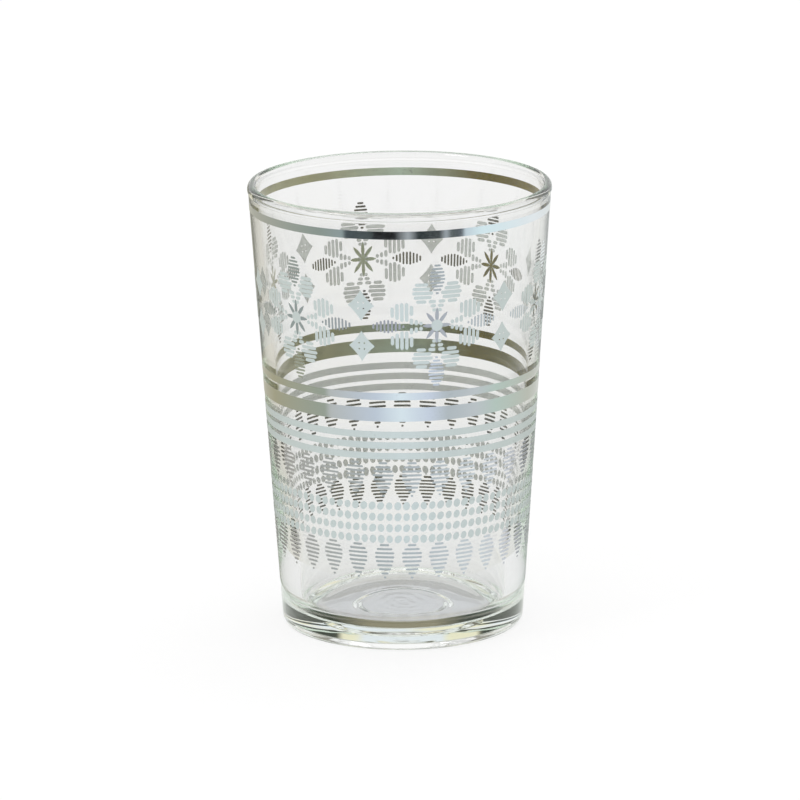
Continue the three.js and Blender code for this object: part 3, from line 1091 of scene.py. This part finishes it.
class TEAGLASS_OT_stars(Operator):
    """Make the eight-armed silver stars with their enamel hearts, and the four-pointed enamel stars"""

    bl_idname = "teaglass.stars"
    bl_label = "Stars"

    def execute(self, context):
        sizes = context.scene.tea_glass_print
        silver, enamel, row = silver_finishes(), enamel_finishes(), flower_row()
        fineness = {"Fineness": STAR_FINENESS}
        base = outline_mesh("flower_star", [shifted(eight_arm_outline(sizes), FLOWER_HEIGHT)])
        stars = printed("flower_stars_film", base, "Outlined print", silver, row, fineness)
        settle(stars, SILVER_SLOT, *FLOWER_NODES)
        base = outline_mesh("heart", [round_outline(0.0, FLOWER_HEIGHT, sizes.heart, HEART_SIDES)])
        over_star = {**fineness, "Gap": HEART_LIFT * (sizes.gap + sizes.thickness)}
        hearts = printed("star_hearts_film", base, "Outlined print", enamel, row, over_star)
        settle(hearts, ENAMEL_SLOT)
        loops = [small_star_outline(sizes), *pinhole_outlines(sizes)]
        upper, lower = middle("gap_star_upper_1"), middle("gap_star_lower_1")
        pair = [shifted(loop, place.z) for place in (upper, lower) for loop in loops]
        base = outline_mesh("gap_stars", pair)
        row = {**row, "First": turn_of(upper)}
        gaps = printed("gap_stars_film", base, "Outlined print", enamel, row, fineness)
        settle(gaps, ENAMEL_SLOT, *GAP_STAR_NODES)
        return {"FINISHED"}


# Where a flower leaf's outline starts on half a sine wave, and how much of it the leaf takes
LEAF_START = 0.065
LEAF_SPAN = 0.8


def leaf_run(sizes, upright):
    """First line, step and greatest half width of a flower's upright or level leaf."""
    if upright:
        return sizes.leaf_first_up, sizes.leaf_pitch_up, sizes.leaf_half_up
    return sizes.leaf_first_across, sizes.leaf_pitch_across, sizes.leaf_half_across


def flower_leaf_half_width(sizes, along, upright):
    """Half width of a flower's hatched leaf at a distance from the flower's middle."""
    first, pitch, widest = leaf_run(sizes, upright)
    share_along = (along - first) / (pitch * (sizes.leaf_lines - 1))
    phase = LEAF_START + LEAF_SPAN * share_along
    return widest * math.sin(math.pi * min(max(phase, 0.0), 1.0))


def on_arms(sizes, lines_of):
    """Lines of a flower's four arms. lines_of gives those of one arm, each as (along, from, to, width)."""
    lines = []
    for upright in (False, True):
        for along, start, stop, width in lines_of(sizes, upright):
            mid, half = (start + stop) / 2, (stop - start) / 2
            for way in (-1, 1):
                if upright:
                    lines.append((mid, FLOWER_HEIGHT + way * along, half, width / 2, 0.0))
                else:
                    lines.append((way * along, FLOWER_HEIGHT + mid, half, width / 2, math.pi / 2))
    return lines


# A petal's tail: its lines, then where the first starts and ends, each with its growth from line to line
TAIL_LINES = 3
TAIL_INNER = (0.12 * MM, 0.07 * MM)
TAIL_OUTER = (0.95 * MM, 0.35 * MM)


def petal_arm_lines(sizes, upright):
    """A heart-shaped petal: a narrow tail, then two lobes that keep clear of the leaf between them."""
    pitch = sizes.petal_pitch_up if upright else sizes.petal_pitch_across
    leaf_first, leaf_pitch, _ = leaf_run(sizes, upright)
    halves = []
    for k in range(sizes.petal_lines):
        along = sizes.petal_first + pitch * k
        inner_limit = sizes.lobe_clearance
        if k < TAIL_LINES:
            tail_end = TAIL_OUTER[0] + TAIL_OUTER[1] * k
            halves.append((along, TAIL_INNER[0] + TAIL_INNER[1] * k, tail_end))
            inner_limit += tail_end
        reach = 1.0 - ((along - sizes.lobe_along) / sizes.lobe_half_length) ** 2
        if reach > 0.0 and k >= TAIL_LINES - 1:
            half = sizes.lobe_half_width * math.sqrt(reach)
            if along > leaf_first - leaf_pitch:
                inner_limit += flower_leaf_half_width(sizes, along, upright)
            halves.append((along, max(sizes.lobe_across - half, inner_limit), sizes.lobe_across + half))
    lines = []
    for along, start, stop in halves:
        lines.append((along, start, stop, sizes.petal_line_width))
        lines.append((along, -stop, -start, sizes.petal_line_width))
    return lines


def leaf_arm_lines(sizes, upright):
    """The finely hatched leaf inside a petal, pointed towards the flower's middle."""
    first, pitch, _ = leaf_run(sizes, upright)
    lines = []
    for k in range(sizes.leaf_lines):
        along = first + pitch * k
        half = flower_leaf_half_width(sizes, along, upright)
        lines.append((along, -half, half, sizes.leaf_line_width))
    return lines


PETAL_SEED = 11
FLOWER_LEAF_SEED = 23


def print_on_arms(name, arm_lines, finishes, slot, seed):
    """Print lines on the four arms of every flower."""
    sizes = bpy.context.scene.tea_glass_print
    base = points_mesh(name, on_arms(sizes, arm_lines))
    extra = {"Unevenness": sizes.unevenness, "Seed": seed}
    settle(printed(f"{name}_film", base, "Hatched print", finishes, flower_row(), extra), slot)


class TEAGLASS_OT_petals(Operator):
    """Make the enamel petals of the flowers"""

    bl_idname = "teaglass.petals"
    bl_label = "Petals"

    def execute(self, context):
        print_on_arms("flower_petals", petal_arm_lines, enamel_finishes(), ENAMEL_SLOT, PETAL_SEED)
        return {"FINISHED"}


class TEAGLASS_OT_flower_leaves(Operator):
    """Make the hatched silver leaves inside the petals"""

    bl_idname = "teaglass.flower_leaves"
    bl_label = "Flower leaves"

    def execute(self, context):
        print_on_arms("flower_leaves", leaf_arm_lines, hatch_finishes(), SILVER_SLOT, FLOWER_LEAF_SEED)
        return {"FINISHED"}


# How many lines a row leaf's outline starts before its first one, what share of that is left past its last,
# and how far up its fullest place is pushed
ROW_LEAF_START = 0.61
ROW_LEAF_END = 0.3
ROW_LEAF_SKEW = 0.7

UPPER_ROW_SEED = 37
LOWER_ROW_SEED = 41
BACK_RUN_SEED = 500


def row_leaf_lines(sizes, first_height):
    """A hatched leaf of the lower rows, full near its top and drawn out below."""
    lines = []
    span = sizes.leaf_lines + ROW_LEAF_END * ROW_LEAF_START
    for k in range(sizes.leaf_lines):
        place = ((k + ROW_LEAF_START) / span) ** ROW_LEAF_SKEW
        half = sizes.row_half_width * math.sin(math.pi * place)
        lines.append((0.0, first_height - k * sizes.row_pitch, half, sizes.row_line_width / 2, 0.0))
    return lines


class TEAGLASS_OT_leaf_rows(Operator):
    """Make the two rows of hatched silver leaves"""

    bl_idname = "teaglass.leaf_rows"
    bl_label = "Leaf rows"

    def execute(self, context):
        sizes = context.scene.tea_glass_print
        runs = {
            "front": (sizes.front_leaves, sizes.front_start, 0),
            "back": (sizes.back_leaves, sizes.back_start, BACK_RUN_SEED),
        }
        rows = (("upper", sizes.row_upper, UPPER_ROW_SEED), ("lower", sizes.row_lower, LOWER_ROW_SEED))
        half_height = sizes.row_pitch * (sizes.leaf_lines - 1) / 2
        for name, top, seed in rows:
            for side, (count, first, offset) in runs.items():
                base = points_mesh(f"leaf_row_{name}_{side}", row_leaf_lines(sizes, top))
                row = row_inputs(count, sizes.row_step, first, top - half_height)
                extra = {"Unevenness": sizes.unevenness, "Seed": seed + offset}
                film = f"leaf_row_{name}_{side}_film"
                settle(printed(film, base, "Hatched print", hatch_finishes(), row, extra), SILVER_SLOT)
        return {"FINISHED"}


BEAD_SEED = 53


class TEAGLASS_OT_beads(Operator):
    """Make the rows of enamel beads"""

    bl_idname = "teaglass.beads"
    bl_label = "Bead rows"

    def execute(self, context):
        sizes = context.scene.tea_glass_print
        heights = [sizes.bead_top - i * sizes.bead_pitch for i in range(sizes.bead_rows)]
        base = bpy.data.meshes.new("bead_rows")
        base.from_pydata([(0.0, z, 0.0) for z in heights], [], [])
        row = row_inputs(sizes.beads, sizes.bead_step, sizes.bead_first_turn, sum(heights) / len(heights))
        extra = {
            "Half width": sizes.bead_half_width,
            "Half height": sizes.bead_half_height,
            "Slant": sizes.bead_slant,
            "Tilt": sizes.bead_tilt,
            "Unevenness": sizes.unevenness,
            "Seed": BEAD_SEED,
        }
        piece = printed("bead_rows_film", base, "Beaded print", enamel_finishes(), row, extra)
        settle(piece, ENAMEL_SLOT)
        return {"FINISHED"}


# Stage

def stage_object(name, vertices, faces):
    """A linked stage object, which is left out of the visual model."""
    mesh = bpy.data.meshes.new(name)
    mesh.from_pydata(vertices, [], faces)
    piece = bpy.data.objects.new(name, mesh)
    bpy.context.scene.collection.objects.link(piece)
    return piece


FLOOR_REACH = 4.0
FLOOR_DROP = 0.02 * MM
FLOOR_GRAIN_SCALE = 6.0
FLOOR_GRAIN = 0.005

# The shares of the floor's glow that show through glass and under the foot, as painted shade and a painted
# contact shadow, and the radii between which the second turns into the first
THROUGH_GLASS_SHADE = 0.88
UNDER_FOOT_SHADOW = 0.66
FOOT_SHADE = (0.9 * FOOT_RADIUS, 1.1 * FOOT_RADIUS)


def floor_material(tone, glow_share):
    """Pale matt board that glows in part to whatever sees it, so that it looks white with a faint shadow.

    Light that has come through glass sees it a little dimmer, as painted shade, and dimmer still under the
    foot, as a painted contact shadow.
    """
    material, tree, output = new_material("pale_floor")
    place = object_place(tree)
    grain = noise(tree, place, FLOOR_GRAIN_SCALE, 3.0)
    tones = scaled(tone, 1.0 - FLOOR_GRAIN), scaled(tone, 1.0 + FLOOR_GRAIN)
    board = add(tree, "ShaderNodeBsdfPrincipled", {
        "Base Color": between(tree, grain, *tones),
        "Roughness": 1.0,
        "Specular IOR Level": 0.0,
    })
    path = add(tree, "ShaderNodeLightPath")
    mirrored = calc(tree, "ADD", path.outputs["Is Glossy Ray"], path.outputs["Is Transmission Ray"])
    seen = calc(tree, "MINIMUM", calc(tree, "ADD", path.outputs["Is Camera Ray"], mirrored), 1.0)
    distance = add(tree, "ShaderNodeVectorMath", {0: place}, operation="LENGTH").outputs["Value"]
    shade = remap(tree, distance, *FOOT_SHADE, 1.0 - UNDER_FOOT_SHADOW, 1.0 - THROUGH_GLASS_SHADE)
    dimmed = calc(tree, "MULTIPLY", path.outputs["Is Transmission Ray"], shade)
    glow = add(tree, "ShaderNodeEmission", {"Strength": calc(tree, "SUBTRACT", 1.0, dimmed)})
    factor = calc(tree, "MULTIPLY", seen, glow_share)
    whole = add(tree, "ShaderNodeMixShader", {0: factor, 1: board.outputs[0], 2: glow.outputs[0]})
    tree.links.new(whole.outputs[0], output.inputs["Surface"])
    material.cycles.emission_sampling = "NONE"
    return material


# Light that has been reflected more often than this doesn't see the cards, which keeps the rim's edges pale
LONGEST_PATH = 6.5


def reflection_material(name, stops, inside):
    """A studio card that shows only in reflections: off the print, or inside the glass.

    Its tone follows the angle round the glass. Light that has been reflected many times passes it.
    """
    material, tree, output = new_material(name)
    x, y, _ = split(tree, object_place(tree))
    turn = calc(tree, "ARCTAN2", x, calc(tree, "MULTIPLY", y, -1.0))
    place = calc(tree, "ADD", calc(tree, "DIVIDE", turn, math.tau), 0.5)
    tone = tone_ramp(tree, place, [(degrees / 360 + 0.5, tone) for degrees, tone in stops])
    path = add(tree, "ShaderNodeLightPath")
    mirrored = calc(tree, "GREATER_THAN", path.outputs["Glossy Depth"], 0.5)
    short = calc(tree, "LESS_THAN", path.outputs["Glossy Depth"], LONGEST_PATH)
    side = "GREATER_THAN" if inside else "LESS_THAN"
    wanted = calc(tree, "MULTIPLY", short, calc(tree, side, path.outputs["Transmission Depth"], 0.5))
    shown = calc(tree, "MULTIPLY", mirrored, wanted)
    clear = add(tree, "ShaderNodeBsdfTransparent")
    glow = add(tree, "ShaderNodeEmission", {"Color": tone, "Strength": 1.0})
    mix = add(tree, "ShaderNodeMixShader", {0: shown, 1: clear.outputs[0], 2: glow.outputs[0]})
    tree.links.new(mix.outputs[0], output.inputs["Surface"])
    material.cycles.emission_sampling = "NONE"
    return material


# Each card is a strip that goes round the glass. Its tones are set at angles from the front, towards +X.
CARD_SEGMENTS = 120
OLIVE = (0.020, 0.030, 0.012)
UMBER = (0.25, 0.23, 0.14)
BROWN = (0.16, 0.15, 0.11)
STONE = (0.70, 0.69, 0.64)
CREAM = (0.93, 0.88, 0.66)
PALE_BLUE = (0.86, 0.90, 0.96)
WHITE = (1.00, 1.00, 1.00)

# Cards on the floor that the print reflects, each from one radius to another. They lie further out at the
# back. The silver shows their tones at half their angles.
PRINT_CARD_HEIGHT = 0.001
PRINT_CARD_STRETCH = 0.075
PRINT_CARDS = {
    "near_card": (0.032, 0.135, [
        (-180, (0.32, 0.32, 0.28)), (-130, (0.28, 0.28, 0.25)), (-100, (0.44, 0.43, 0.40)),
        (-60, (0.46, 0.48, 0.46)), (-20, (0.45, 0.50, 0.51)), (8, (0.51, 0.57, 0.60)),
        (60, (0.68, 0.74, 0.77)), (95, (0.67, 0.70, 0.74)), (120, (0.38, 0.40, 0.41)),
        (180, (0.36, 0.37, 0.36)),
    ]),
    "belt_card": (0.135, 0.185, [
        (-180, (0.60, 0.59, 0.52)), (-125, (0.43, 0.41, 0.28)), (-62, (0.36, 0.41, 0.34)),
        (-57, (0.54, 0.57, 0.56)), (-20, (0.61, 0.69, 0.79)), (0, (0.82, 0.94, 1.00)),
        (22, (0.66, 0.74, 0.86)), (36, (0.52, 0.58, 0.61)), (60, (0.60, 0.65, 0.67)),
        (80, (0.54, 0.66, 0.59)), (125, (0.58, 0.60, 0.52)), (180, (0.75, 0.76, 0.75)),
    ]),
    "star_card": (0.185, 0.219, [
        (-180, (0.40, 0.40, 0.36)), (-90, (0.34, 0.39, 0.37)), (0, (0.42, 0.44, 0.50)),
        (90, (0.62, 0.68, 0.70)), (180, (0.60, 0.62, 0.60)),
    ]),
    "arm_card": (0.219, 0.245, [
        (-180, (0.54, 0.54, 0.46)), (-60, (0.31, 0.36, 0.34)), (-20, (0.30, 0.34, 0.35)),
        (8, (0.40, 0.44, 0.46)), (60, (0.62, 0.70, 0.74)), (180, (0.74, 0.77, 0.74)),
    ]),
    "far_card": (0.245, 3.0, [
        (-180, (0.54, 0.54, 0.46)), (-130, (0.45, 0.45, 0.38)), (-60, (0.31, 0.37, 0.33)),
        (-43, (0.32, 0.39, 0.39)), (-40, (0.07, 0.09, 0.10)), (-22, (0.07, 0.09, 0.09)),
        (-18, (0.01, 0.01, 0.01)), (-4, (0.01, 0.01, 0.01)), (6, (0.42, 0.46, 0.48)),
        (13, (0.02, 0.03, 0.03)), (29, (0.06, 0.07, 0.07)), (34, (0.40, 0.45, 0.48)),
        (38, (0.10, 0.12, 0.12)), (46, (0.10, 0.12, 0.14)), (49, (0.63, 0.74, 0.80)),
        (62, (0.78, 0.96, 1.00)), (120, (0.90, 0.95, 0.97)), (180, (0.74, 0.77, 0.74)),
    ]),
}

# Cards that show inside the glass, each between two (radius, height) points: under the foot, then on the
# floor near the foot and further off, then upright and far off
GLASS_CARDS = {
    # The card under the foot paints the shade of the floor beneath the glass, as the base shows it
    "under_card": ((0.0001, -0.00001), (0.0236, -0.00001), [
        (-180, OLIVE), (-48, OLIVE), (-22, UMBER), (20, UMBER), (42, OLIVE), (180, OLIVE),
    ]),
    "edge_card": ((0.0242, 0.0002), (0.0290, 0.0002), [
        (-180, OLIVE), (-160, OLIVE), (-150, STONE), (150, STONE), (160, OLIVE), (180, OLIVE),
    ]),
    "heel_card": ((0.0290, 0.0002), (0.0322, 0.0002), [
        (-180, PALE_BLUE), (-160, PALE_BLUE), (-150, STONE), (150, STONE), (160, CREAM), (179, CREAM),
        (180, PALE_BLUE),
    ]),
    "wall_card": ((0.045, 0.0003), (0.59, 0.0003), [
        (-180, (0.76, 0.74, 0.68)), (-110, (0.74, 0.72, 0.66)), (-60, (0.64, 0.61, 0.44)),
        (60, (0.62, 0.59, 0.40)), (110, (0.76, 0.76, 0.73)), (180, (0.80, 0.80, 0.77)),
    ]),
    "low_card": ((0.6, 0.03), (0.6, 0.15), [
        (-180, OLIVE), (-85, OLIVE), (-78, WHITE), (78, WHITE), (85, OLIVE), (180, OLIVE),
    ]),
    "side_card": ((0.6, 0.15), (0.6, 0.26), [
        (-180, PALE_BLUE), (-167, PALE_BLUE), (-165, CREAM), (-153, CREAM), (-150, OLIVE),
        (-85, OLIVE), (-78, WHITE), (78, WHITE), (85, OLIVE), (156, OLIVE), (159, CREAM), (164, CREAM),
        (167, PALE_BLUE), (180, PALE_BLUE),
    ]),
    "high_card": ((0.6, 0.26), (0.6, 0.5), [
        (-180, CREAM), (-172, BROWN), (150, BROWN), (160, CREAM), (180, CREAM),
    ]),
}


def reflection_card(name, ends, stops, stretch, inside):
    """A card turned from the two ends of its section, and stretched towards the back."""
    vertices = []
    for i in range(CARD_SEGMENTS):
        turn = math.tau * i / CARD_SEGMENTS
        scale = 1.0 + stretch * (1.0 - math.cos(turn))
        vertices.extend(on_circle(radius * scale, turn, z) for radius, z in ends)
    count = len(vertices)
    faces = [(i, i + 1, (i + 3) % count, (i + 2) % count) for i in range(0, count, 2)]
    card = stage_object(name, vertices, faces)
    card.data.materials.append(reflection_material(name, stops, inside))
    card.visible_camera = False
    card.visible_diffuse = False
    card.visible_shadow = False


def reflection_cards():
    """Cards that give the silver its dark and blue reflections, and the base its window and dark ends."""
    for name, (inner, outer, stops) in PRINT_CARDS.items():
        ends = [(radius, PRINT_CARD_HEIGHT) for radius in (inner, outer)]
        reflection_card(name, ends, stops, PRINT_CARD_STRETCH, inside=False)
    for name, (start, stop, stops) in GLASS_CARDS.items():
        reflection_card(name, (start, stop), stops, 0.0, inside=True)


# Where each lamp stands, its size and its power
LAMPS = {
    "left_lamp": ((-0.55, -0.35, 0.75), 0.25, 0.9),
    "top_lamp": ((0.25, 0.35, 0.9), 0.4, 1.2),
}
LAMP_AIM = Vector((0.0, 0.0, 0.05))


def soft_lamp(name, place, size, power):
    """A square area lamp aimed at the glass, hidden from the camera."""
    data = bpy.data.lights.new(name, "AREA")
    data.size = size
    data.energy = power
    lamp = bpy.data.objects.new(name, data)
    lamp.location = place
    lamp.rotation_mode = "QUATERNION"
    lamp.rotation_quaternion = (LAMP_AIM - Vector(place)).to_track_quat("-Z", "Y")
    lamp.visible_camera = False
    lamp.visible_transmission = False
    bpy.context.scene.collection.objects.link(lamp)


def white_world(level):
    """Even white light from all round."""
    world = bpy.data.worlds.new("white_world")
    world.use_nodes = True
    background = world.node_tree.nodes["Background"]
    background.inputs["Color"].default_value = (1.0, 1.0, 1.0, 1.0)
    background.inputs["Strength"].default_value = level
    bpy.context.scene.world = world


SENSOR_WIDTH = 36.0


def photo_camera(stage):
    """The camera at the photograph's viewing angle."""
    data = bpy.data.cameras.new("camera")
    data.sensor_width = SENSOR_WIDTH
    data.lens = stage.lens
    camera = bpy.data.objects.new("camera", data)
    pitch = Matrix.Rotation(math.pi / 2 - stage.camera_pitch, 4, "X")
    roll = Matrix.Rotation(-stage.camera_roll, 4, "Z")
    camera.matrix_world = Matrix.Translation(stage.camera_place) @ pitch @ roll
    bpy.context.scene.collection.objects.link(camera)
    bpy.context.scene.camera = camera


GLASS_BOUNCES = 64
CLEAR_BOUNCES = 48


class TEAGLASS_OT_stage(Operator):
    """Make the floor, the light and the camera"""

    bl_idname = "teaglass.stage"
    bl_label = "Stage"

    def execute(self, context):
        scene = context.scene
        stage = scene.tea_glass_stage
        corners = [(-1, -1), (1, -1), (1, 1), (-1, 1)]
        spots = [(FLOOR_REACH * x, FLOOR_REACH * y, -FLOOR_DROP) for x, y in corners]
        floor = stage_object("floor", spots, [(0, 1, 2, 3)])
        floor.data.materials.append(floor_material(stage.floor_colour, stage.floor_glow))
        reflection_cards()
        for name, (place, size, power) in LAMPS.items():
            soft_lamp(name, place, size, power)
        white_world(stage.world_level)
        photo_camera(stage)
        scene.view_settings.view_transform = "Standard"
        scene.cycles.max_bounces = GLASS_BOUNCES
        scene.cycles.transmission_bounces = GLASS_BOUNCES
        scene.cycles.glossy_bounces = GLASS_BOUNCES
        scene.cycles.transparent_max_bounces = CLEAR_BOUNCES
        return {"FINISHED"}


PIECE_OPERATORS = (
    TEAGLASS_OT_glass,
    TEAGLASS_OT_bands,
    TEAGLASS_OT_stars,
    TEAGLASS_OT_petals,
    TEAGLASS_OT_flower_leaves,
    TEAGLASS_OT_leaf_rows,
    TEAGLASS_OT_beads,
    TEAGLASS_OT_stage,
)
PROPERTY_GROUPS = {
    "tea_glass_shape": GlassShape,
    "tea_glass_print": PrintShape,
    "tea_glass_finishes": Finishes,
    "tea_glass_stage": StageSet,
}


class TEAGLASS_PT_panel(Panel):
    """Lists the pieces of the tea glass and their sizes"""

    bl_idname = "TEAGLASS_PT_panel"
    bl_label = "Tea Glass"
    bl_space_type = "VIEW_3D"
    bl_region_type = "UI"
    bl_category = "Tea Glass"

    def draw(self, context):
        for operator in PIECE_OPERATORS:
            self.layout.operator(operator.bl_idname)
        for name, group in PROPERTY_GROUPS.items():
            box = self.layout.box()
            box.label(text=group.__doc__)
            for label in group.__annotations__:
                box.prop(getattr(context.scene, name), label)


def register():
    """Register the classes and hang their settings on the scene."""
    for name, group in PROPERTY_GROUPS.items():
        bpy.utils.register_class(group)
        setattr(bpy.types.Scene, name, PointerProperty(type=group))
    for cls in (*PIECE_OPERATORS, TEAGLASS_PT_panel):
        bpy.utils.register_class(cls)


def unregister():
    """Take the classes and settings away again."""
    for cls in (TEAGLASS_PT_panel, *reversed(PIECE_OPERATORS)):
        bpy.utils.unregister_class(cls)
    for name, group in reversed(PROPERTY_GROUPS.items()):
        delattr(bpy.types.Scene, name)
        bpy.utils.unregister_class(group)


def main():
    """Build every piece and the stage."""
    register()
    bpy.ops.teaglass.glass()
    bpy.ops.teaglass.bands()
    bpy.ops.teaglass.stars()
    bpy.ops.teaglass.petals()
    bpy.ops.teaglass.flower_leaves()
    bpy.ops.teaglass.leaf_rows()
    bpy.ops.teaglass.beads()
    bpy.ops.teaglass.stage()


if __name__ == "__main__":
    main()
